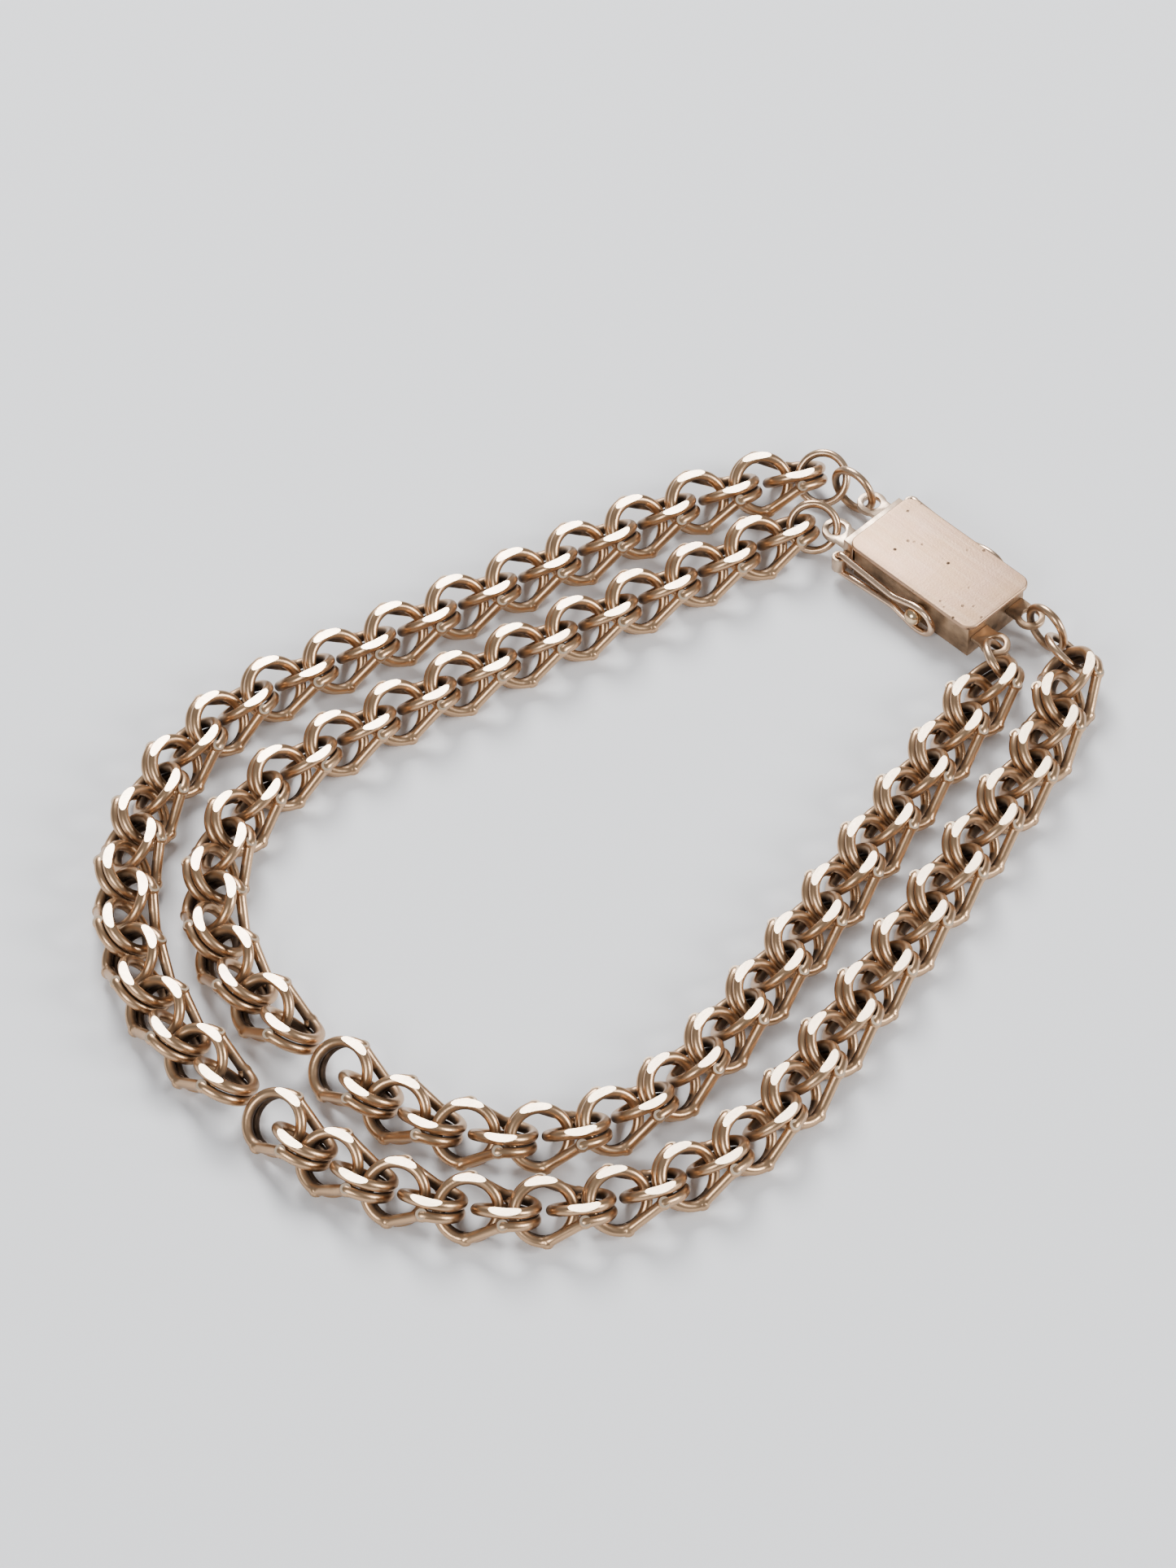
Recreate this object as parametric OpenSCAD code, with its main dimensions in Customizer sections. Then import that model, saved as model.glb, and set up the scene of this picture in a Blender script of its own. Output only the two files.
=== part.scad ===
// Two-row chain bracelet with a box clasp, laid closed on a flat surface.
// Units are millimetres. The chain lies in the XY plane, +Z is up, and the clasp lies along X
// with its mouth facing -X. The origin is on the surface, under the middle between the clasp's lugs.

/* [Link] */
// Distance from one double link to the next along the row
link_pitch = 6.0; // [5.8:0.05:6.6]
// Thickness of the wire that the links are wound from
wire_d = 0.9; // [0.7:0.01:0.92]
// Radius of a wound coil, at the middle of its wire
coil_r = 2.4; // [2.35:0.01:2.45]
// Lean of a coil about the run of the row
coil_lean = 44; // [42:1:46]
// Space between two turns of one coil, on top of the wire's thickness
turn_gap = 0.11; // [0.1:0.01:0.14]
// Thickness of a link between its two filed faces
link_t = 4.1; // [3.9:0.05:4.4]
// Thickness of the soldered bead where two coils join
bead_d = 1.05; // [1:0.01:1.06]

/* [Rows] */
// Direction in which the inner row leaves, measured outwards from -Y
inner_heading = 14; // [12:1:16]
// Direction in which the outer row leaves, measured outwards from -Y
outer_heading = 30; // [28:1:32]
// Gap between the two halves of a row at the far end of the loop
row_gap = 0.5; // [0.4:0.1:1]

/* [Clasp case] */
// Length of the case
case_l = 13.4; // [12:0.1:15]
// Width of the case
case_w = 7.0; // [6.6:0.1:7.4]
// Height of the case under its lid plate
case_h = 3.6; // [3.4:0.1:4]
// Thickness of the case's sheet
case_wall = 0.4; // [0.3:0.05:0.5]
// Distance from a lug's hole to the opposite lug's hole
lug_span = 18.6; // [18.4:0.1:18.8]
// Distance between the two lugs of one end
lug_gap = 4.4; // [4.2:0.1:4.6]
// Thickness of a lug
lug_t = 0.5; // [0.4:0.05:0.6]
// Radius of a lug's hole
lug_hole_r = 0.75; // [0.65:0.05:0.85]
// Outer radius of a lug
lug_r = 1.3; // [1.2:0.05:1.4]

/* [Lid plate] */
// How far the lid plate stands past the case on each side
plate_lip = 0.5; // [0.2:0.05:0.7]
// Thickness of the lid plate
plate_t = 0.45; // [0.35:0.05:0.6]
// Radius of the lid plate's corners
plate_corner_r = 1.1; // [0.8:0.1:1.6]

/* [Tongue] */
// Thickness of the tongue's end bar, along the clasp
bar_t = 1.1; // [0.9:0.1:1.3]
// Gap between the end bar and the case when the clasp is shut
bar_gap = 0.2; // [0.1:0.05:0.3]
// Thickness of the two spring leaves
leaf_t = 0.35; // [0.25:0.05:0.4]
// Width of the spring leaves
leaf_w = 5.4; // [4.4:0.1:5.8]
// Length of the spring leaves past the end bar
leaf_l = 9.6; // [8:0.1:11]
// Rise of the upper leaf towards the mouth
leaf_rise = 6; // [4:0.5:7]

/* [Safety catches] */
// Thickness of the catch wire
catch_d = 0.6; // [0.5:0.05:0.65]
// Thickness of a catch wire at its bends
catch_bead_d = 0.72; // [0.7:0.01:0.8]
// Length of a catch from its hinge to the far end of its loop
catch_l = 11.2; // [10.5:0.1:12]
// Half the height of a catch's loop, at the middle of the wire
catch_loop_r = 1.3; // [1.2:0.05:1.4]
// Radius of the ball that a catch snaps over
ball_r = 0.8; // [0.7:0.05:0.85]
// Distance from the case's side to the middle of the catch wire
catch_off = 1.05; // [0.95:0.05:1.2]
// Radius of the hinge barrel on the end bar
barrel_r = 0.65; // [0.55:0.05:0.7]

/* [End rings] */
// Thickness of the end rings' wire
ring_d = 0.7; // [0.6:0.05:0.75]
// Radius of an end ring that stands through a lug, at the middle of its wire
ring_r = 2.05; // [2:0.01:2.1]
// Radius of the second ring of an outer row, at the middle of its wire
second_ring_r = 2.2; // [2.15:0.01:2.25]
// Direction in which the inner row's ring points, measured outwards from -Y
inner_ring_heading = 56.5; // [55:0.5:58]
// Lean of the inner row's ring
inner_ring_lean = 38; // [36:1:40]
// Direction in which the outer row's ring points, measured outwards from -Y
outer_ring_heading = 86; // [84:1:88]
// Direction in which the outer row's second ring points
second_ring_heading = 73.5; // [72:0.5:75]
// Lean of the outer row's second ring from the level
second_ring_lean = 46; // [45:1:48]
// Room between the wires of an outer row's two rings
ring_room = 0.38; // [0.3:0.01:0.4]

/* [Hidden] */
$fn = 48;
// Bend of each link of a row against the one before, from the clasp to the far end; inwards is negative.
inner_bends = [0, 0, 0, 0, 0, -1, -1, -2, -6, -18, -20, -20, -19, -17];
outer_bends = [0, -8, -8, 0, 0, 0, 0, 0, 0, -13, -13, -13, -13, -13, -13, -13, -13];
// The middle of the loop's far end lies under the middle of the clasp.
inner_n = len(inner_bends);
outer_n = len(outer_bends);
inner_start_y = -4.2;
outer_start_y = 1.0;

half_turn = (wire_d + turn_gap) / 2;
turn_tilt = atan(half_turn / (2 * coil_r));
half_ring_r = sqrt(4 * coil_r * coil_r + half_turn * half_turn) / 2;
row_z = link_t / 2;
// How far a link's coil reaches past the pivot that it shares with the next link
coil_reach = coil_r + wire_d / 2 - link_pitch / 4;
row_end_x = coil_reach + row_gap / 2;

case_x = case_l / 2 + 0.65;
mouth_x = case_x - case_l;
bar_x = mouth_x - bar_gap - bar_t;
lug_x = lug_span / 2;
lug_z = row_z;
ball_x = mouth_x + 8.0;
catch_y = case_w / 2 + catch_off;
catch_z = case_h / 2;
barrel_x = bar_x + bar_t / 2;
ring_stand_z = ring_r + ring_d / 2;
second_ring_z = row_z + 0.05;

// Sums of a list's first k + 1 entries
function sum_to(v, k) = k < 0 ? 0 : v[k] + sum_to(v, k - 1);
function heading(h0, bends, k) = h0 + sum_to(bends, k);
// Unit step along a heading; side is -1 on the left of the clasp and 1 on its right
function step(side, h) = [side * sin(h), -cos(h)];
function along(side, h0, bends, k) =
    k <= 0 ? [0, 0] : along(side, h0, bends, k - 1) + link_pitch * step(side, heading(h0, bends, k - 1));
function start_of(side, h0, bends, y) =
    [side * row_end_x - along(side, h0, bends, len(bends))[0], y];
// The pivot behind link k of a row
function pivot(side, h0, bends, y, k) = start_of(side, h0, bends, y) + along(side, h0, bends, k);

function two(k) = k < 10 ? str("0", k) : str(k);
inner_nodes = ceil(inner_n / 2);
outer_nodes = ceil(outer_n / 2);
function row_names(row, n) = [for (k = [1:n]) str(row, "_links_", two(k))];

gold = "#b9977c";
pale_gold = "#c2a184";

// A round wire from p to q; spin turns its seam about the wire
module wire(p, q, d, spin = 0) {
    v = q - p;
    translate(p) rotate([0, acos(v[2] / norm(v)), atan2(v[1], v[0])]) rotate(spin)
        cylinder(h = norm(v), d = d);
}

// Half a ring of wire, from +X round through +Y to -X
module half_ring(r, d) {
    rotate_extrude(angle = 180) translate([r, 0]) circle(d = d);
}

// One coil of a turn and a half, its left side high and its right side low
module coil() {
    lean = [coil_lean - turn_tilt, coil_lean + turn_tilt, coil_lean - turn_tilt];
    for (k = [0:2])
        translate((k - 1) * half_turn * [sin(coil_lean), 0, cos(coil_lean)])
            rotate([0, lean[k], 0]) rotate([0, 0, k == 1 ? 0 : 180]) half_ring(half_ring_r, wire_d);
}

// Where a coil's wire starts, high on the left, and ends, low on the right
function coil_start() = -1.5 * half_turn * [sin(coil_lean), 0, cos(coil_lean)]
    - coil_r * [cos(coil_lean), 0, -sin(coil_lean)];
function coil_finish() = -coil_start();

// A double link along +Y from its pivot: two coils of one closed wire, soldered at both edges, filed flat
module link() {
    first = [0, link_pitch / 4, 0];
    second = [0, 3 * link_pitch / 4, 0];
    turned = function(p) [-p[0], -p[1], p[2]];
    edges = [[first + coil_start(), second + turned(coil_finish())],
             [first + coil_finish(), second + turned(coil_start())]];
    intersection() {
        union() {
            translate(first) coil();
            translate(second) rotate(180) coil();
            for (e = edges) {
                wire(e[0], e[1], wire_d);
                for (p = e) translate(p) sphere(d = bead_d);
            }
        }
        translate([-link_pitch, -link_pitch, -link_t / 2]) cube([2 * link_pitch, 3 * link_pitch, link_t]);
    }
}

// Two neighbouring links of a row, n counted from 1 at the clasp
module row_links(side, h0, bends, y, n) {
    color(n % 2 == 0 ? gold : pale_gold)
        for (k = [2 * n - 2 : min(2 * n - 1, len(bends) - 1)]) {
            h = heading(h0, bends, k);
            p = pivot(side, h0, bends, y, k);
            translate([p[0], p[1], row_z]) rotate(180 + side * h) link();
        }
}

function lug_at(side, row) = [side * lug_x, row * lug_gap / 2];
function flat_turn(side, h) = side > 0 ? h - 90 : -90 - h;

// A wire ring that starts at point p and reaches along heading h, its plane turned about that
// heading by turn from the level
module ring_from(p, side, h, turn, r) {
    color(gold) translate(p) rotate([0, 0, flat_turn(side, h)]) rotate([turn, 0, 0]) translate([r, 0])
        rotate_extrude() translate([r, 0]) circle(d = ring_d);
}

module ring_inner(side) {
    p = lug_at(side, -1);
    ring_from([p[0], p[1], lug_z], side, inner_ring_heading, 90 + inner_ring_lean, ring_r);
}

module ring_outer(side) {
    p = lug_at(side, 1);
    ring_from([p[0], p[1], ring_stand_z], side, outer_ring_heading, 90, ring_r);
}

// The second ring of the outer row hangs in the first and takes the row's first coil
module ring_second(side) {
    p = lug_at(side, 1) + (2 * ring_r - ring_d - ring_room) * step(side, outer_ring_heading);
    ring_from([p[0], p[1], second_ring_z], side, second_ring_heading, -second_ring_lean, second_ring_r);
}

module lug(side, row, root_x) {
    p = lug_at(side, row);
    reach = abs(p[0] - root_x);
    translate([p[0], p[1], lug_z - lug_t / 2]) difference() {
        union() {
            cylinder(r = lug_r, h = lug_t);
            translate([side < 0 ? 0 : -reach, -0.8 * lug_r, 0]) cube([reach, 1.6 * lug_r, lug_t]);
        }
        translate([0, 0, -1]) cylinder(r = lug_hole_r, h = lug_t + 2);
    }
}

// Folded tray of sheet, open towards -X and closed on top by the lid plate
module case() {
    color(gold) difference() {
        translate([mouth_x, -case_w / 2, 0]) cube([case_l, case_w, case_h]);
        translate([mouth_x - 1, case_wall - case_w / 2, case_wall])
            cube([case_l + 1 - case_wall, case_w - 2 * case_wall, case_h]);
    }
}

module lid_plate() {
    l = case_l + 2 * plate_lip;
    w = case_w + 2 * plate_lip;
    color(pale_gold) translate([mouth_x - plate_lip, -w / 2, case_h]) {
        translate([plate_corner_r, 0, 0]) cube([l - 2 * plate_corner_r, w, plate_t]);
        translate([0, plate_corner_r, 0]) cube([l, w - 2 * plate_corner_r, plate_t]);
        for (x = [plate_corner_r, l - plate_corner_r], y = [plate_corner_r, w - plate_corner_r])
            translate([x, y, 0]) cylinder(r = plate_corner_r, h = plate_t);
    }
}

module case_lugs() {
    color(gold) for (row = [-1, 1]) lug(1, row, case_x);
}

// Balls on short stems, one on each side of the case
module catch_balls() {
    color(pale_gold) for (s = [-1, 1]) {
        translate([ball_x, s * catch_y, catch_z]) sphere(r = ball_r);
        translate([ball_x, s * case_w / 2, catch_z]) rotate([-90 * s, 0, 0])
            cylinder(d = ball_r, h = catch_off);
    }
}

module tongue_bar() {
    color(gold) translate([bar_x, -case_w / 2, 0.2]) cube([bar_t, case_w, case_h - 0.4]);
}

module tongue_lugs() {
    color(gold) for (row = [-1, 1]) lug(-1, row, bar_x);
}

// The fixed leaf runs along the case's floor
lower_leaf_z = case_wall + 0.15;
nose_x = bar_x + bar_t + leaf_l;
module lower_leaf() {
    color(gold) translate([bar_x + bar_t, -leaf_w / 2, lower_leaf_z]) cube([leaf_l, leaf_w, leaf_t]);
}

// The springing leaf is folded back from the nose and rises towards the mouth
module upper_leaf() {
    color(pale_gold) translate([nose_x, -leaf_w / 2, lower_leaf_z + leaf_t]) rotate([0, leaf_rise, 0])
        translate([-leaf_l + 0.3, 0, 0]) cube([leaf_l - 0.3, leaf_w, leaf_t]);
}

// Upright barrels at the ends of the bar, which the catches turn in
module catch_barrels() {
    color(gold) for (s = [-1, 1]) {
        translate([barrel_x, s * catch_y, catch_z - 0.75]) difference() {
            cylinder(r = barrel_r, h = 1.5);
            translate([0, 0, -1]) cylinder(d = catch_d + 0.1, h = 4);
        }
        translate([barrel_x - 0.3, s > 0 ? case_w / 2 : -catch_y + barrel_r - 0.1, catch_z - 0.5])
            cube([0.6, catch_off - barrel_r + 0.1, 1]);
    }
}

// A wire bent to a figure of eight: a pin through the barrel, two arms that draw in at the waist,
// and a round loop over the ball
module catch_wire() {
    loop_x = catch_l - catch_loop_r - catch_d / 2;
    shoulder_x = ball_x - barrel_x;
    waist_x = shoulder_x - 2.4;
    waist_z = 0.55;
    pin_z = 1.1;
    seam = 90;
    wire([0, 0, -pin_z], [0, 0, pin_z], catch_d, seam);
    for (s = [-1, 1]) {
        pin_end = [0, 0, s * pin_z];
        waist = [waist_x, 0, s * waist_z];
        shoulder = [shoulder_x, 0, s * catch_loop_r];
        wire(pin_end, waist, catch_d, seam);
        wire(waist, shoulder, catch_d, seam);
        wire(shoulder, [loop_x, 0, s * catch_loop_r], catch_d, seam);
        for (bend = [pin_end, waist, shoulder])
            translate(bend) rotate(seam) sphere(d = catch_bead_d);
    }
    translate([loop_x, 0, 0]) rotate([90, 0, 0]) rotate(-90) half_ring(catch_loop_r, catch_d);
}

module catch_front() {
    color(pale_gold) translate([barrel_x, -catch_y, catch_z]) catch_wire();
}

module catch_back() {
    color(pale_gold) translate([barrel_x, catch_y, catch_z]) catch_wire();
}

case();
lid_plate();
case_lugs();
catch_balls();
tongue_bar();
tongue_lugs();
lower_leaf();
upper_leaf();
catch_barrels();
catch_front();
catch_back();
ring_inner(-1);  // ring_inner_left
ring_inner(1);  // ring_inner_right
ring_outer(-1);  // ring_outer_left
ring_outer(1);  // ring_outer_right
ring_second(-1);  // ring_second_left
ring_second(1);  // ring_second_right
for (n = [1:inner_nodes]) {
    row_links(-1, inner_heading, inner_bends, inner_start_y, n);
    row_links(1, inner_heading, inner_bends, inner_start_y, n);
}
for (n = [1:outer_nodes]) {
    row_links(-1, outer_heading, outer_bends, outer_start_y, n);
    row_links(1, outer_heading, outer_bends, outer_start_y, n);
}
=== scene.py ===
import math

import bmesh
import bpy
import numpy as np
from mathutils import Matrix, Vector


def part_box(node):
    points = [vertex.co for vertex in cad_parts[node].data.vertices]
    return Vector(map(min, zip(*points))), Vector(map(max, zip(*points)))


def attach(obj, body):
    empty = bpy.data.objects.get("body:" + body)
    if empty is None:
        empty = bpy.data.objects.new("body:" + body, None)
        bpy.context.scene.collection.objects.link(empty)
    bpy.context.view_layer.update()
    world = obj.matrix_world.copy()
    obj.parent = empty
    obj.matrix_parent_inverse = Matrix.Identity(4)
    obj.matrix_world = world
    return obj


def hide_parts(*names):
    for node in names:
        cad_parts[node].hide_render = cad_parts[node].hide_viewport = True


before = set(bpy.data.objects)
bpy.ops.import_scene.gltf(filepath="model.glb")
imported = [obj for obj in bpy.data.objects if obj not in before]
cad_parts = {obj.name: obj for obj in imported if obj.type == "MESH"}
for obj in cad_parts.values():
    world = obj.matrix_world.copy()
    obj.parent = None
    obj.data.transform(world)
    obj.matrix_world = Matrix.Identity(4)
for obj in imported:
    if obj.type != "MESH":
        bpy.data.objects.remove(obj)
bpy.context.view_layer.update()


# --- The studio -------------------------------------------------------------------------------
# The chain lies on a plain pale floor under three soft lamps. The camera looks down at it from
# the front right, upright, with the clasp in the upper right part of the picture.
floor_colour = (0.80, 0.81, 0.83, 1)
floor_roughness = 0.7
floor_size = 3.0
sky_colour = (0.62, 0.64, 0.68, 1)
sky_strength = 0.50
look_at = Vector((-0.0055, -0.0365, 0.0))
camera_azimuth = math.radians(45)
camera_elevation = math.radians(50)
camera_distance = 0.52
camera_lens = 142
camera_nearest = 0.01
lamps = {
    # name: (place, size across, watts)
    "window_lamp": ((-0.53, 0.30, 0.58), 0.42, 11.0),
    "side_lamp": ((0.55, 0.30, 0.35), 0.30, 5.0),
    "front_lamp": ((0.15, -0.70, 0.50), 0.40, 4.0),
}


def placed(name, data):
    """A new object at the scene's origin."""
    obj = bpy.data.objects.new(name, data)
    bpy.context.scene.collection.objects.link(obj)
    return obj


camera_back = Vector((math.sin(camera_azimuth) * math.cos(camera_elevation),
                      -math.cos(camera_azimuth) * math.cos(camera_elevation),
                      math.sin(camera_elevation)))
camera = placed("camera", bpy.data.cameras.new("camera"))
camera.data.lens = camera_lens
camera.data.clip_start = camera_nearest
camera.location = look_at + camera_back * camera_distance
camera.rotation_mode = "QUATERNION"
camera.rotation_quaternion = (-camera_back).to_track_quat("-Z", "Y")
bpy.context.scene.camera = camera

for lamp_name, (place, across, watts) in lamps.items():
    lamp = placed(lamp_name, bpy.data.lights.new(lamp_name, "AREA"))
    lamp.data.shape = "DISK"
    lamp.data.size = across
    lamp.data.energy = watts
    lamp.location = place
    lamp.rotation_mode = "QUATERNION"
    lamp.rotation_quaternion = (look_at - Vector(place)).to_track_quat("-Z", "Y")

sky = bpy.data.worlds.new("sky")
sky.use_nodes = True
sky.node_tree.nodes["Background"].inputs["Color"].default_value = sky_colour
sky.node_tree.nodes["Background"].inputs["Strength"].default_value = sky_strength
bpy.context.scene.world = sky

floor_mesh = bpy.data.meshes.new("floor")
half = floor_size / 2
floor_mesh.from_pydata([(-half, -half, 0), (half, -half, 0), (half, half, 0), (-half, half, 0)],
                       [], [(0, 1, 2, 3)])
floor_paint = bpy.data.materials.new("floor_paint")
floor_paint.use_nodes = True
floor_shader = floor_paint.node_tree.nodes["Principled BSDF"]
floor_shader.inputs["Base Color"].default_value = floor_colour
floor_shader.inputs["Roughness"].default_value = floor_roughness
floor_mesh.materials.append(floor_paint)
floor = placed("floor", floor_mesh)


# --- Double links -----------------------------------------------------------------------------
# A link is one closed loop of gold wire wound to two coils of a turn and a half, leaning against
# each other, soldered at both edges and then filed flat above and below. Each link hooks into the
# coil of the one before. Old polish and skin grease have left dark patina in the hollows, and
# painted shade darkens them further where turns touch and on the inner side of each coil.
link_pitch = 0.0060
link_wire_r = 0.00045
coil_r = 0.0024
coil_lean = math.radians(44)
turn_gap = 0.00011
link_t = 0.0041
half_turn_points = 40
corner_ease = 3
wire_step = 0.00024
wire_sides = 20

# The wire swells where it is soldered, and a lump of solder there has a small flat of its own.
solder_swell = 0.00009
solder_reach = 0.00035
facet_r = 0.00060
facet_depth = 0.00022
facet_lean = math.radians(24)
facet_sides, facet_rings = 20, 12

# A point lies in a hollow where wire of another turn is within touch_reach. Wire nearer than
# same_turn along the loop isn't another turn. The coil's inner side counts as a part hollow.
# The darkening of a hollow is patina together with painted shade, which stands in for the shade
# between touching turns and inside the coil.
touch_reach = 0.00028
same_turn = 0.003
inner_side_shade_and_patina = 0.55
filed_shade_and_patina_left = 0.3

# Each row runs from its end ring outwards from -Y by a heading, and bends by so many degrees at
# each link. Its two halves meet at the far end.
row_z = link_t / 2
inner_heading, outer_heading = 14, 30
row_gap = 0.0005
inner_bends = [0, 0, 0, 0, 0, -1, -1, -2, -6, -18, -20, -20, -19, -17]
outer_bends = [0, -8, -8, 0, 0, 0, 0, 0, 0] + [-13] * 8
inner_start_y = -0.0042
outer_start_y = 0.0010
links_per_piece = 2

filed_gold = (0.94, 0.74, 0.54, 1)
round_gold = (0.52, 0.33, 0.19, 1)
# The dark colour of patina, also used as painted shade in the hollows of links, rings and catches
# and on the case.
dark_patina_and_shade = (0.050, 0.026, 0.012, 1)


class Value:
    """A shader socket that takes part in Python arithmetic."""

    def __init__(self, finish, socket):
        self.finish, self.socket = finish, socket

    def _math(self, operation, a, b):
        return self.finish.add("ShaderNodeMath", {"operation": operation}, {0: a, 1: b})

    def __add__(self, other): return self._math("ADD", self, other)
    def __radd__(self, other): return self._math("ADD", other, self)
    def __sub__(self, other): return self._math("SUBTRACT", self, other)
    def __rsub__(self, other): return self._math("SUBTRACT", other, self)
    def __mul__(self, other): return self._math("MULTIPLY", self, other)
    def __rmul__(self, other): return self._math("MULTIPLY", other, self)


class Finish:
    """A material whose nodes are added one by one. Noise scales are in features per metre."""

    def __init__(self, name):
        self.material = bpy.data.materials.new(name)
        self.material.use_nodes = True
        self.tree = self.material.node_tree
        self.shader = self.tree.nodes["Principled BSDF"]

    def add(self, kind, settings=None, sockets=None, out=0):
        node = self.tree.nodes.new(kind)
        for key, value in (settings or {}).items():
            setattr(node, key, value)
        for key, value in (sockets or {}).items():
            self.set(node.inputs[key], value)
        return Value(self, node.outputs[out])

    def set(self, socket, value):
        if isinstance(value, Value):
            self.tree.links.new(value.socket, socket)
        else:
            socket.default_value = value

    def attribute(self, name):
        return self.add("ShaderNodeAttribute", {"attribute_name": name}, out="Fac")

    def place(self):
        return self.add("ShaderNodeTexCoord", out="Object")

    def noise(self, scale, detail, stretch=None):
        at = self.place()
        if stretch:
            at = self.add("ShaderNodeMapping", None, {"Vector": at, "Scale": stretch})
        return self.add("ShaderNodeTexNoise", None,
                        {"Vector": at, "Scale": scale, "Detail": detail})

    def ramp(self, factor, low, high):
        return self.add("ShaderNodeMapRange", {"clamp": True},
                        {"Value": factor, "From Min": low, "From Max": high})

    def mix(self, factor, a, b):
        return self.add("ShaderNodeMix", {"data_type": "RGBA"},
                        {"Factor": factor, 6: a, 7: b}, out=2)

    def bump(self, height, distance, strength):
        return self.add("ShaderNodeBump", None,
                        {"Height": height, "Distance": distance, "Strength": strength})

    def put(self, name, value):
        self.set(self.shader.inputs[name], value)


def sweep(bm, points, radii, sides):
    """A closed round wire along points, kept from twisting; gives its vertices ring by ring."""
    points = np.array(points, float)
    n = len(points)
    ahead = np.roll(points, -1, 0) - np.roll(points, 1, 0)
    ahead /= np.linalg.norm(ahead, axis=1)[:, None]
    side = np.cross(ahead[0], (0, 0, 1.0) if abs(ahead[0][2]) < 0.9 else (1.0, 0, 0))
    side_of = []
    for tangent in ahead:
        side = side - tangent * side.dot(tangent)
        side /= np.linalg.norm(side)
        side_of.append(side)
    # what the side has turned by on its way round is taken back evenly
    last = side_of[-1] - ahead[0] * side_of[-1].dot(ahead[0])
    twist = math.atan2(np.cross(side_of[0], last).dot(ahead[0]), side_of[0].dot(last))
    rings = []
    for i in range(n):
        up = np.cross(ahead[i], side_of[i])
        ring = []
        for k in range(sides):
            a = 2 * math.pi * k / sides - twist * i / n
            p = points[i] + radii[i] * (math.cos(a) * side_of[i] + math.sin(a) * up)
            ring.append(bm.verts.new(p))
        rings.append(ring)
    for i in range(n):
        a, b = rings[i], rings[(i + 1) % n]
        for k in range(sides):
            m = (k + 1) % sides
            bm.faces.new((a[k], a[m], b[m], b[k]))
    return rings


def even_path(points, step, ease):
    """A closed line in even steps, with its corners eased so many times."""
    p = np.array(points, float)
    p = np.vstack([p, p[:1]])
    run = np.concatenate([[0], np.cumsum(np.linalg.norm(np.diff(p, axis=0), axis=1))])
    count = int(round(run[-1] / step))
    at = np.linspace(0, run[-1], count + 1)[:-1]
    out = np.stack([np.interp(at, run, p[:, i]) for i in range(3)], 1)
    for _ in range(ease):
        out = 0.5 * out + 0.25 * (np.roll(out, 1, 0) + np.roll(out, -1, 0))
    return out


def coil_line():
    """Middle of the wire of one coil, from high on the left to low on the right."""
    half_turn = (2 * link_wire_r + turn_gap) / 2
    tilt = math.atan(half_turn / (2 * coil_r))
    r = math.hypot(2 * coil_r, half_turn) / 2
    axis = np.array([math.sin(coil_lean), 0, math.cos(coil_lean)])
    line = []
    for k, lean in enumerate((coil_lean - tilt, coil_lean + tilt, coil_lean - tilt)):
        sign = 1 if k == 1 else -1
        for a in np.linspace(0, math.pi, half_turn_points):
            x, y = sign * r * math.cos(a), sign * r * math.sin(a)
            line.append(np.array([x * math.cos(lean), y, -x * math.sin(lean)])
                        + (k - 1) * half_turn * axis)
    return np.array(line)


def file_flat(bm, point, normal):
    """Cuts off what stands past a plane and closes the cut; gives the flat faces."""
    whole = bm.verts[:] + bm.edges[:] + bm.faces[:]
    cut = bmesh.ops.bisect_plane(bm, geom=whole, plane_co=point, plane_no=normal,
                                 clear_outer=True)["geom_cut"]
    edges = [e for e in cut if isinstance(e, bmesh.types.BMEdge)]
    return bmesh.ops.edgeloop_fill(bm, edges=edges)["faces"]


def solder_facet(bm, centre, out, up):
    """A lump of solder with the flat that a file left on its outer side."""
    lump = bmesh.new()
    bmesh.ops.create_uvsphere(lump, u_segments=facet_sides, v_segments=facet_rings,
                              radius=facet_r)
    normal = Vector((out * math.sin(facet_lean), 0, up * math.cos(facet_lean)))
    flats = file_flat(lump, normal * (facet_r - facet_depth), normal)
    made = {v: bm.verts.new(v.co + Vector(centre)) for v in lump.verts}
    for f in lump.faces:
        new = bm.faces.new([made[v] for v in f.verts])
        if f in flats:
            new[bm.faces.layers.float["filed"]] = 1.0
    lump.free()


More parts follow.
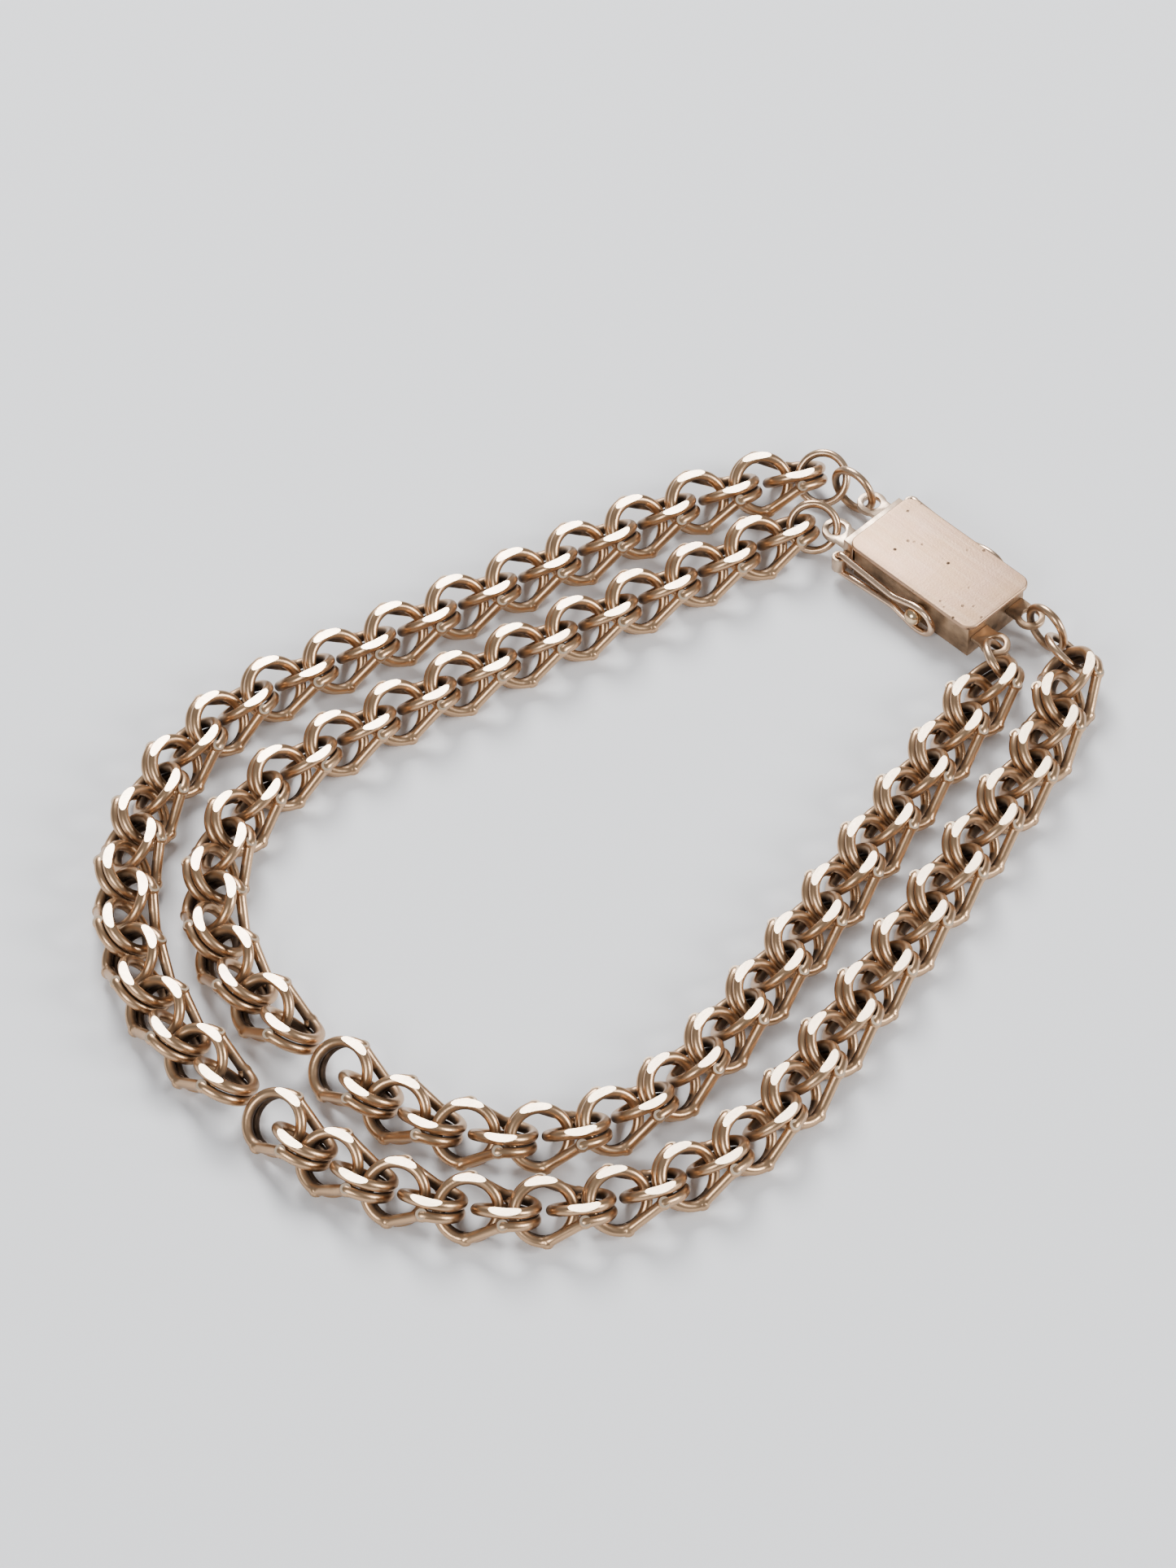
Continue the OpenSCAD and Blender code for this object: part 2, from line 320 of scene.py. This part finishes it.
def make_link():
    """The mesh of one link, along +Y from the pivot that it shares with the link before."""
    first = coil_line() + (0, link_pitch / 4, 0)
    second = coil_line() * (-1, -1, 1) + (0, 3 * link_pitch / 4, 0)
    corners = [first[0], first[-1], second[0], second[-1]]
    line = even_path(np.vstack([first, second]), wire_step, corner_ease)
    near = np.min([np.linalg.norm(line - c, axis=1) for c in corners], axis=0)
    radii = link_wire_r + solder_swell * np.exp(-(near / solder_reach) ** 2)
    bm = bmesh.new()
    shade_and_patina = bm.verts.layers.float.new("shade_and_patina")
    filed = bm.faces.layers.float.new("filed")
    total = len(line)
    middles = [np.array([0, link_pitch / 4, 0]), np.array([0, 3 * link_pitch / 4, 0])]
    for i, ring in enumerate(sweep(bm, line, radii, wire_sides)):
        apart = np.abs(np.arange(total) - i)
        other_turns = np.minimum(apart, total - apart) * wire_step > same_turn
        middle = min(middles, key=lambda m: np.linalg.norm(line[i] - m))
        inward = middle - line[i]
        inward /= np.linalg.norm(inward)
        for v in ring:
            p = np.array(v.co)
            # Patina and painted shade: the mask rises near wire of another turn and on the side
            # facing the coil's middle.
            gap = np.min(np.linalg.norm(line[other_turns] - p, axis=1)) - link_wire_r
            close = min(max(1 - gap / touch_reach, 0), 1)
            facing = max(0, float((p - line[i]).dot(inward)) / link_wire_r)
            v[shade_and_patina] = min(1, close + inner_side_shade_and_patina * facing)
    for up in (1, -1):
        for f in file_flat(bm, (0, 0, up * link_t / 2), (0, 0, up)):
            f[filed] = 1.0
            for v in f.verts:
                v[shade_and_patina] *= filed_shade_and_patina_left
    for corner, out, up in ((first[0], -1, 1), (second[0], 1, 1),
                            (first[-1], 1, -1), (second[-1], -1, -1)):
        solder_facet(bm, corner, out, up)
    bmesh.ops.recalc_face_normals(bm, faces=bm.faces)
    for f in bm.faces:
        f.smooth = f[filed] == 0
    for e in bm.edges:
        e.smooth = len({f.smooth for f in e.link_faces}) == 1
    mesh = bpy.data.meshes.new("link")
    bm.to_mesh(mesh)
    bm.free()
    return mesh


def link_surface():
    """Old rose gold: worn bright on the filed flats, browner on the round of the wire."""
    finish = Finish("link_gold_finish")
    flat = finish.attribute("filed")
    shade_and_patina = finish.attribute("shade_and_patina")
    cloud = finish.noise(scale=900.0, detail=4.0)
    speck = finish.noise(scale=5200.0, detail=2.0)
    scratch = finish.noise(scale=2600.0, detail=3.0, stretch=(0.12, 1.0, 1.0))
    worn = finish.mix(finish.ramp(flat + 0.35 * (cloud - 0.5), 0.2, 0.8), round_gold, filed_gold)
    # grime here is patina with painted shade, from the mask of the hollows and the coils' inner
    # sides.
    grime = finish.ramp(shade_and_patina * (0.75 + 0.8 * cloud), 0.08, 0.62)
    finish.put("Base Color", finish.mix(grime, worn, dark_patina_and_shade))
    finish.put("Metallic", 1.0 - 0.55 * grime)
    finish.put("Roughness", 0.24 + 0.14 * cloud + 0.34 * grime + 0.05 * flat)
    height = 0.5 * cloud + 0.3 * speck + 0.35 * scratch
    finish.put("Normal", finish.bump(height, distance=0.000035, strength=0.55))
    return finish.material


def row_tree():
    """Hooks a link on at each point of a stretch of row, turned by the point's heading."""
    tree = bpy.data.node_groups.new("row_of_links", "GeometryNodeTree")
    for name, kind in (("Geometry", "Geometry"), ("Link", "Object"), ("Row height", "Float"),
                       ("Finish", "Material")):
        tree.interface.new_socket(name, in_out="INPUT", socket_type="NodeSocket" + kind)
    tree.interface.new_socket("Geometry", in_out="OUTPUT", socket_type="NodeSocketGeometry")
    given = tree.nodes.new("NodeGroupInput")
    result = tree.nodes.new("NodeGroupOutput")
    lift = tree.nodes.new("GeometryNodeSetPosition")
    height = tree.nodes.new("ShaderNodeCombineXYZ")
    heading = tree.nodes.new("GeometryNodeInputNamedAttribute")
    heading.data_type = "FLOAT"
    heading.inputs["Name"].default_value = "heading"
    turn = tree.nodes.new("ShaderNodeCombineXYZ")
    model = tree.nodes.new("GeometryNodeObjectInfo")
    hook = tree.nodes.new("GeometryNodeInstanceOnPoints")
    real = tree.nodes.new("GeometryNodeRealizeInstances")
    paint = tree.nodes.new("GeometryNodeSetMaterial")
    for start, output, end, entry in (
            (given, "Geometry", lift, "Geometry"), (given, "Row height", height, "Z"),
            (height, "Vector", lift, "Offset"), (lift, "Geometry", hook, "Points"),
            (given, "Link", model, "Object"), (model, "Geometry", hook, "Instance"),
            (heading, "Attribute", turn, "Z"), (turn, "Vector", hook, "Rotation"),
            (hook, "Instances", real, "Geometry"), (real, "Geometry", paint, "Geometry"),
            (given, "Finish", paint, "Material"), (paint, "Geometry", result, "Geometry")):
        tree.links.new(start.outputs[output], end.inputs[entry])
    return tree


def grow(name, start_mesh, tree, inputs):
    """Runs a tree on a mesh and keeps the result as a plain mesh object."""
    obj = placed(name, start_mesh)
    modifier = obj.modifiers.new("tree", "NODES")
    modifier.node_group = tree
    for item in tree.interface.items_tree:
        if item.item_type == "SOCKET" and item.in_out == "INPUT" and item.name in inputs:
            modifier[item.identifier] = inputs[item.name]
    bpy.context.view_layer.update()
    shown = obj.evaluated_get(bpy.context.evaluated_depsgraph_get())
    made = bpy.data.meshes.new_from_object(shown)
    obj.modifiers.clear()
    obj.data = made
    return obj


def row_points(side, heading, bends, start_y):
    """The pivot behind each link of a row, and the way that the link points."""
    row_end_x = coil_r + link_wire_r - link_pitch / 4 + row_gap / 2
    places, turns = [np.zeros(2)], []
    for bend in bends:
        heading += bend
        a = math.radians(heading)
        places.append(places[-1] + link_pitch * np.array([side * math.sin(a), -math.cos(a)]))
        turns.append(math.pi + side * a)
    shift = np.array([side * row_end_x - places[-1][0], start_y])
    return [p + shift for p in places[:-1]], turns


link_finish = link_surface()
link_model = placed("link_model", make_link())
links_tree = row_tree()
for row, heading, bends, start_y in (("inner", inner_heading, inner_bends, inner_start_y),
                                     ("outer", outer_heading, outer_bends, outer_start_y)):
    for side_name, side in (("left", -1), ("right", 1)):
        places, turns = row_points(side, heading, bends, start_y)
        for n in range(0, len(bends), links_per_piece):
            pair = slice(n, n + links_per_piece)
            number = n // links_per_piece + 1
            points = bpy.data.meshes.new("hooks")
            points.from_pydata([(x, y, 0) for x, y in places[pair]], [], [])
            turned = points.attributes.new("heading", "FLOAT", "POINT")
            turned.data.foreach_set("value", turns[pair])
            node = f"{row}_{side_name}_links_{number:02d}"
            links = grow(f"{row}_{side_name}_wire_{number:02d}", points, links_tree,
                         {"Link": link_model, "Row height": row_z, "Finish": link_finish})
            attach(links, node)
            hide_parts(node)
bpy.data.objects.remove(link_model)


# --- End rings --------------------------------------------------------------------------------
# Plain wire rings join the rows to the clasp's lugs: one leaning ring for each inner row, and an
# upright ring and a leaning one for each outer row. Each is closed with a little solder.
ring_wire_r = 0.00035
ring_r = 0.00205
second_ring_r = 0.0022
ring_room = 0.00038
lug_x, lug_y = 0.0093, 0.0022
second_ring_z = row_z + 0.00005
inner_ring_heading, outer_ring_heading, second_ring_heading = 56.5, 86, 73.5
inner_ring_turn, outer_ring_turn, second_ring_turn = 90 + 38, 90, -46
ring_points = 90
ring_step = 0.00022
ring_sides = 18
ring_seam_swell, ring_seam_reach = 0.10, 0.0005
ring_gold = (0.70, 0.50, 0.34, 1)


def ring_surface():
    """Wire gold between the two tones of the links, darker inside the ring with patina and
    painted shade.
    """
    finish = Finish("ring_gold_finish")
    cloud = finish.noise(scale=700.0, detail=4.0)
    speck = finish.noise(scale=4200.0, detail=3.0)
    # grime here is patina with painted shade on the ring's inner side.
    grime = finish.ramp(finish.attribute("shade_and_patina") * (0.6 + 0.8 * cloud), 0.35, 1.0)
    tint = finish.mix(finish.ramp(cloud, 0.35, 0.7), round_gold, ring_gold)
    finish.put("Base Color", finish.mix(grime, tint, dark_patina_and_shade))
    finish.put("Metallic", 1.0 - 0.4 * grime)
    finish.put("Roughness", 0.22 + 0.16 * cloud + 0.3 * grime)
    finish.put("Normal", finish.bump(0.6 * cloud + 0.4 * speck, distance=0.00004, strength=0.5))
    return finish.material


def plain_object(name, bm, material):
    """A finished mesh as an object at the origin."""
    bmesh.ops.recalc_face_normals(bm, faces=bm.faces)
    mesh = bpy.data.meshes.new(name)
    bm.to_mesh(mesh)
    bm.free()
    mesh.materials.append(material)
    return placed(name, mesh)


def wire_piece(name, line, radii, sides, material):
    """One closed wire, darker with patina and painted shade on the side that faces its own
    middle.
    """
    bm = bmesh.new()
    shade_and_patina = bm.verts.layers.float.new("shade_and_patina")
    middle = line.mean(0)
    for i, ring in enumerate(sweep(bm, line, radii, sides)):
        inward = middle - line[i]
        inward = inward / np.linalg.norm(inward)
        for v in ring:
            # Patina and painted shade: the mask grows on the side of the wire that faces the
            # middle.
            v[shade_and_patina] = max(0, float((np.array(v.co) - line[i]).dot(inward)) / radii[i])
    for f in bm.faces:
        f.smooth = True
    return plain_object(name, bm, material)


def outwards(side, heading):
    """Level unit vector along a heading, which is measured outwards from -Y."""
    a = math.radians(heading)
    return np.array([side * math.sin(a), -math.cos(a), 0])


def make_ring(node, start, side, heading, turn, r):
    """A ring from start along a heading, its plane turned about that heading from the level."""
    along = outwards(side, heading)
    across = np.array([-along[1], along[0], 0])
    turn = math.radians(turn)
    rise = math.cos(turn) * across + math.sin(turn) * np.array([0, 0, 1])
    line = [start + r * (along * (1 - math.cos(a)) + rise * math.sin(a))
            for a in np.linspace(0, 2 * math.pi, ring_points, endpoint=False)]
    line = even_path(line, ring_step, ease=0)
    seam = np.linalg.norm(line - line[len(line) // 3], axis=1)
    radii = ring_wire_r * (1 + ring_seam_swell * np.exp(-(seam / ring_seam_reach) ** 2))
    ring = wire_piece(node + "_wire", line, radii, ring_sides, ring_finish)
    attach(ring, node)
    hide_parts(node)


ring_finish = ring_surface()
for side_name, side in (("left", -1), ("right", 1)):
    inner_lug = np.array([side * lug_x, -lug_y, row_z])
    outer_lug = np.array([side * lug_x, lug_y, ring_r + ring_wire_r])
    reach = 2 * ring_r - 2 * ring_wire_r - ring_room
    hung = outer_lug + reach * outwards(side, outer_ring_heading)
    hung[2] = second_ring_z
    make_ring("ring_inner_" + side_name, inner_lug, side, inner_ring_heading,
              inner_ring_turn, ring_r)
    make_ring("ring_outer_" + side_name, outer_lug, side, outer_ring_heading,
              outer_ring_turn, ring_r)
    make_ring("ring_second_" + side_name, hung, side, second_ring_heading,
              second_ring_turn, second_ring_r)


# --- Clasp case -------------------------------------------------------------------------------
# A small box folded up from gold sheet, open at the mouth, with two lugs soldered to its closed
# end. Its sides sit in the shade of the lid plate; its sheet is darker than the tongue's and has
# more of the cloudy patina, which is partly real patina and partly painted shade.
same_point = 1e-7
flat_angle = math.radians(1)
edge_angle = math.radians(35)
shade_angle = math.radians(50)
sheet_soft_edge = 0.00009
# The case's darker gold and its extra patina are partly painted shade under the lid plate.
case_dirt_and_shade, case_gloss = 0.75, 0.30
case_gold_and_shade = (0.54, 0.36, 0.22, 1)


def sheet_surface(name, colour, dirt_and_shade, gloss):
    """Drawn sheet with cloudy patina, which grows with dirt and, on the case, with painted shade;
    gloss is the least roughness.
    """
    finish = Finish(name)
    cloud = finish.noise(scale=420.0, detail=5.0)
    speck = finish.noise(scale=3600.0, detail=2.0)
    drawn = finish.noise(scale=1800.0, detail=3.0, stretch=(0.08, 1.0, 1.0))
    # grime is cloudy patina, and on the case it is partly painted shade.
    grime = finish.ramp(cloud, 0.62 - 0.35 * dirt_and_shade, 0.95 - 0.2 * dirt_and_shade)
    finish.put("Base Color", finish.mix(grime, colour, dark_patina_and_shade))
    finish.put("Metallic", 1.0 - 0.4 * grime)
    finish.put("Roughness", gloss + 0.14 * cloud + 0.3 * grime)
    height = 0.4 * cloud + 0.25 * speck + 0.35 * drawn
    finish.put("Normal", finish.bump(height, distance=0.00004, strength=0.6))
    return finish.material


def shade(bm, angle):
    """Smooth all over, but for the edges that turn by more than an angle."""
    for f in bm.faces:
        f.smooth = True
    for e in bm.edges:
        e.smooth = e.calc_face_angle(0) < angle


def softened(node, name, width, material):
    """The part's own solid with the worn, rounded edges of old sheet metal."""
    bm = bmesh.new()
    bm.from_mesh(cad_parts[node].data)
    bmesh.ops.remove_doubles(bm, verts=bm.verts, dist=same_point)
    bmesh.ops.dissolve_limit(bm, angle_limit=flat_angle, verts=bm.verts, edges=bm.edges)
    bmesh.ops.recalc_face_normals(bm, faces=bm.faces)
    sharp = [e for e in bm.edges if len(e.link_faces) == 2 and e.calc_face_angle(0) > edge_angle]
    bmesh.ops.bevel(bm, geom=sharp, offset=width, segments=2, profile=0.5, affect="EDGES",
                    clamp_overlap=True)
    shade(bm, shade_angle)
    return plain_object(name, bm, material)


case_finish = sheet_surface("case_gold_finish", case_gold_and_shade, case_dirt_and_shade, case_gloss)
for node, name in (("case", "case_sheet"), ("case_lugs", "case_lug_pair")):
    piece = softened(node, name, sheet_soft_edge, case_finish)
    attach(piece, "clasp_box")
    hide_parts(node)


# --- Lid plate --------------------------------------------------------------------------------
# A flat plate of heavier sheet with rounded corners closes the box and stands a little past it.
# Wear has brushed it to a soft pinkish sheen with fine scratches and small dark pits.
plate_corner_r = 0.0011
plate_edge_r = 0.00016
plate_corner_steps = 10
plate_shade_angle = math.radians(40)
plate_gold = (0.50, 0.32, 0.225, 1)


def plate_surface():
    """Pinkish satin gold, brushed both ways, with pits where the cloud is thick."""
    finish = Finish("plate_gold_finish")
    cloud = finish.noise(scale=260.0, detail=4.0)
    fine = finish.noise(scale=5200.0, detail=3.0)
    brushed = finish.noise(scale=1500.0, detail=4.0, stretch=(0.06, 1.0, 1.0))
    crossed = finish.noise(scale=1100.0, detail=3.0, stretch=(1.0, 0.07, 1.0))
    pits = finish.add("ShaderNodeTexVoronoi", None,
                      {"Vector": finish.place(), "Scale": 900.0}, out="Distance")
    pitted = finish.ramp(pits, 0.15, 0.07) * finish.ramp(cloud, 0.46, 0.56)
    tint = finish.mix(finish.ramp(cloud, 0.3, 0.75), plate_gold, round_gold)
    tint = finish.mix(0.25 * finish.ramp(brushed, 0.45, 0.8), tint, filed_gold)
    finish.put("Base Color", finish.mix(pitted, tint, dark_patina_and_shade))
    finish.put("Metallic", 1.0 - 0.6 * pitted)
    finish.put("Roughness", 0.40 + 0.10 * cloud + 0.10 * brushed + 0.3 * pitted)
    height = 0.35 * brushed + 0.25 * crossed + 0.25 * fine - 1.2 * pitted
    finish.put("Normal", finish.bump(height, distance=0.00006, strength=0.8))
    return finish.material


def make_plate():
    """The plate in the solid's own box, with round corners and a round edge."""
    low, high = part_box("lid_plate")
    outline = []
    for cx, cy, start in ((high.x, high.y, 0), (low.x, high.y, 90),
                          (low.x, low.y, 180), (high.x, low.y, 270)):
        cx -= math.copysign(plate_corner_r, cx - (low.x + high.x) / 2)
        cy -= math.copysign(plate_corner_r, cy)
        for k in range(plate_corner_steps + 1):
            a = math.radians(start + 90 * k / plate_corner_steps)
            outline.append((cx + plate_corner_r * math.cos(a), cy + plate_corner_r * math.sin(a)))
    bm = bmesh.new()
    bottom = bm.faces.new([bm.verts.new((x, y, low.z)) for x, y in outline])
    top = bmesh.ops.extrude_face_region(bm, geom=[bottom])["geom"]
    bmesh.ops.translate(bm, verts=[g for g in top if isinstance(g, bmesh.types.BMVert)],
                        vec=(0, 0, high.z - low.z))
    bmesh.ops.recalc_face_normals(bm, faces=bm.faces)
    rim = [e for e in bm.edges if any(len(f.verts) > 4 for f in e.link_faces)]
    bmesh.ops.bevel(bm, geom=rim, offset=plate_edge_r, segments=4, profile=0.5, affect="EDGES")
    shade(bm, plate_shade_angle)
    return plain_object("lid_plate_sheet", bm, plate_surface())


plate = make_plate()
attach(plate, "clasp_box")
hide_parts("lid_plate")


# --- Catch balls ------------------------------------------------------------------------------
# A polished gold ball on a short stem stands on each long side of the box. The safety catches
# snap over the balls.
ball_r = 0.0008
ball_stem_r = 0.0004
ball_steps, ball_sides = 28, 36
stem_foot_r, stem_root_r, stem_root_h = 0.0006, 0.00045, 0.00012
ball_gold = (0.84, 0.64, 0.40, 1)


def ball_surface():
    """Bright gold with a few nicks."""
    finish = Finish("ball_gold_finish")
    cloud = finish.noise(scale=900.0, detail=3.0)
    nicks = finish.noise(scale=3800.0, detail=2.0)
    finish.put("Base Color", finish.mix(finish.ramp(cloud, 0.4, 0.8), ball_gold, round_gold))
    finish.put("Metallic", 1.0)
    finish.put("Roughness", 0.12 + 0.14 * cloud)
    finish.put("Normal", finish.bump(0.5 * cloud + 0.5 * nicks, distance=0.00003, strength=0.4))
    return finish.material


def make_balls():
    """Both balls, each turned from one outline that runs from the stem's foot to the crown."""
    low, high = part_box("catch_balls")
    x, z, side_y = (low.x + high.x) / 2, (low.z + high.z) / 2, high.y - ball_r
    wall_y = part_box("case")[1].y
    outline = [(stem_foot_r, wall_y), (stem_root_r, wall_y + stem_root_h)]
    neck = math.asin(ball_stem_r / ball_r)
    for k in range(ball_steps):
        a = neck + (math.pi - neck) * k / (ball_steps - 1)
        outline.append((ball_r * math.sin(a), side_y - ball_r * math.cos(a)))
    bm = bmesh.new()
    for s in (-1, 1):
        rings = []
        for r, y in outline[:-1]:
            rings.append([bm.verts.new((x + r * math.cos(2 * math.pi * k / ball_sides), s * y,
                                        z + r * math.sin(2 * math.pi * k / ball_sides)))
                          for k in range(ball_sides)])
        crown = bm.verts.new((x, s * outline[-1][1], z))
        for k in range(ball_sides):
            m = (k + 1) % ball_sides
            for a, b in zip(rings, rings[1:]):
                bm.faces.new((a[k], a[m], b[m], b[k]))
            bm.faces.new((rings[-1][k], rings[-1][m], crown))
        bm.faces.new(rings[0])
    for f in bm.faces:
        f.smooth = len(f.verts) < 5
    return plain_object("catch_ball_pair", bm, ball_surface())


balls = make_balls()
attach(balls, "clasp_box")
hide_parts("catch_balls")


# --- Tongue -----------------------------------------------------------------------------------
# The tongue slides into the box: an end bar with two lugs, and a strip of springy gold folded
# back on itself, whose upper leaf is pressed down to let the tongue out.
tongue_soft_edge = 0.00006
tongue_dirt, tongue_gloss = 0.5, 0.26
tongue_gold = (0.62, 0.46, 0.33, 1)

tongue_finish = sheet_surface("tongue_gold_finish", tongue_gold, tongue_dirt, tongue_gloss)
for node, name, body in (("tongue_bar", "tongue_end_bar", "tongue"),
                         ("tongue_lugs", "tongue_lug_pair", "tongue"),
                         ("lower_leaf", "lower_leaf_sheet", "tongue"),
                         ("catch_barrels", "catch_barrel_pair", "tongue"),
                         ("upper_leaf", "upper_leaf_sheet", "spring_leaf")):
    piece = softened(node, name, tongue_soft_edge, tongue_finish)
    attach(piece, body)
    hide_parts(node)


# --- Safety catches ---------------------------------------------------------------------------
# Each catch is one gold wire bent to a figure of eight: it passes through the barrel, draws in
# at the waist and opens to a loop over the ball, where its two ends meet.
catch_wire_r = 0.0003
catch_loop_r = 0.0013
catch_pin_h = 0.0011
catch_waist_back, catch_waist_h = 0.0024, 0.00055
catch_loop_points = 16
catch_step = 0.0002
catch_ease = 4
catch_sides = 16
catch_tip_swell, catch_tip_reach = 0.12, 0.0003
catch_gold = (0.74, 0.52, 0.36, 1)


def catch_surface():
    """Handled gold wire, rather bright, darker inside its bends with patina and painted shade."""
    finish = Finish("catch_gold_finish")
    cloud = finish.noise(scale=800.0, detail=4.0)
    speck = finish.noise(scale=4600.0, detail=2.0)
    # grime here is patina with painted shade inside the bends.
    grime = finish.ramp(finish.attribute("shade_and_patina") * (0.5 + 0.9 * cloud), 0.45, 1.1)
    finish.put("Base Color", finish.mix(grime, catch_gold, dark_patina_and_shade))
    finish.put("Metallic", 1.0 - 0.4 * grime)
    finish.put("Roughness", 0.18 + 0.14 * cloud + 0.3 * grime)
    finish.put("Normal", finish.bump(0.5 * cloud + 0.5 * speck, distance=0.00003, strength=0.5))
    return finish.material


def make_catch(node):
    """The upper half of the wire from the barrel to the loop's tip, and its mirror image."""
    low, high = (np.array(c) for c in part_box(node))
    y, z = (low[1] + high[1]) / 2, (low[2] + high[2]) / 2
    hinge_x = low[0] + catch_wire_r
    ball_x = (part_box("catch_balls")[0].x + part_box("catch_balls")[1].x) / 2
    loop_x = high[0] - catch_loop_r - catch_wire_r
    half_line = [(hinge_x, 0.0), (hinge_x, catch_pin_h),
                 (ball_x - catch_waist_back, catch_waist_h), (ball_x, catch_loop_r)]
    half_line += [(loop_x + catch_loop_r * math.sin(a), catch_loop_r * math.cos(a))
                  for a in np.linspace(0, math.pi / 2, catch_loop_points)]
    line = [(x, y, z + h) for x, h in half_line]
    line += [(x, y, z - h) for x, h in half_line[-2:0:-1]]
    line = even_path(line, catch_step, catch_ease)
    tip = np.linalg.norm(line - (loop_x + catch_loop_r, y, z), axis=1)
    radii = catch_wire_r * (1 + catch_tip_swell * np.exp(-(tip / catch_tip_reach) ** 2))
    return wire_piece(node + "_wire", line, radii, catch_sides, catch_finish)


catch_finish = catch_surface()
for node in ("catch_front", "catch_back"):
    catch = make_catch(node)
    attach(catch, node)
    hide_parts(node)
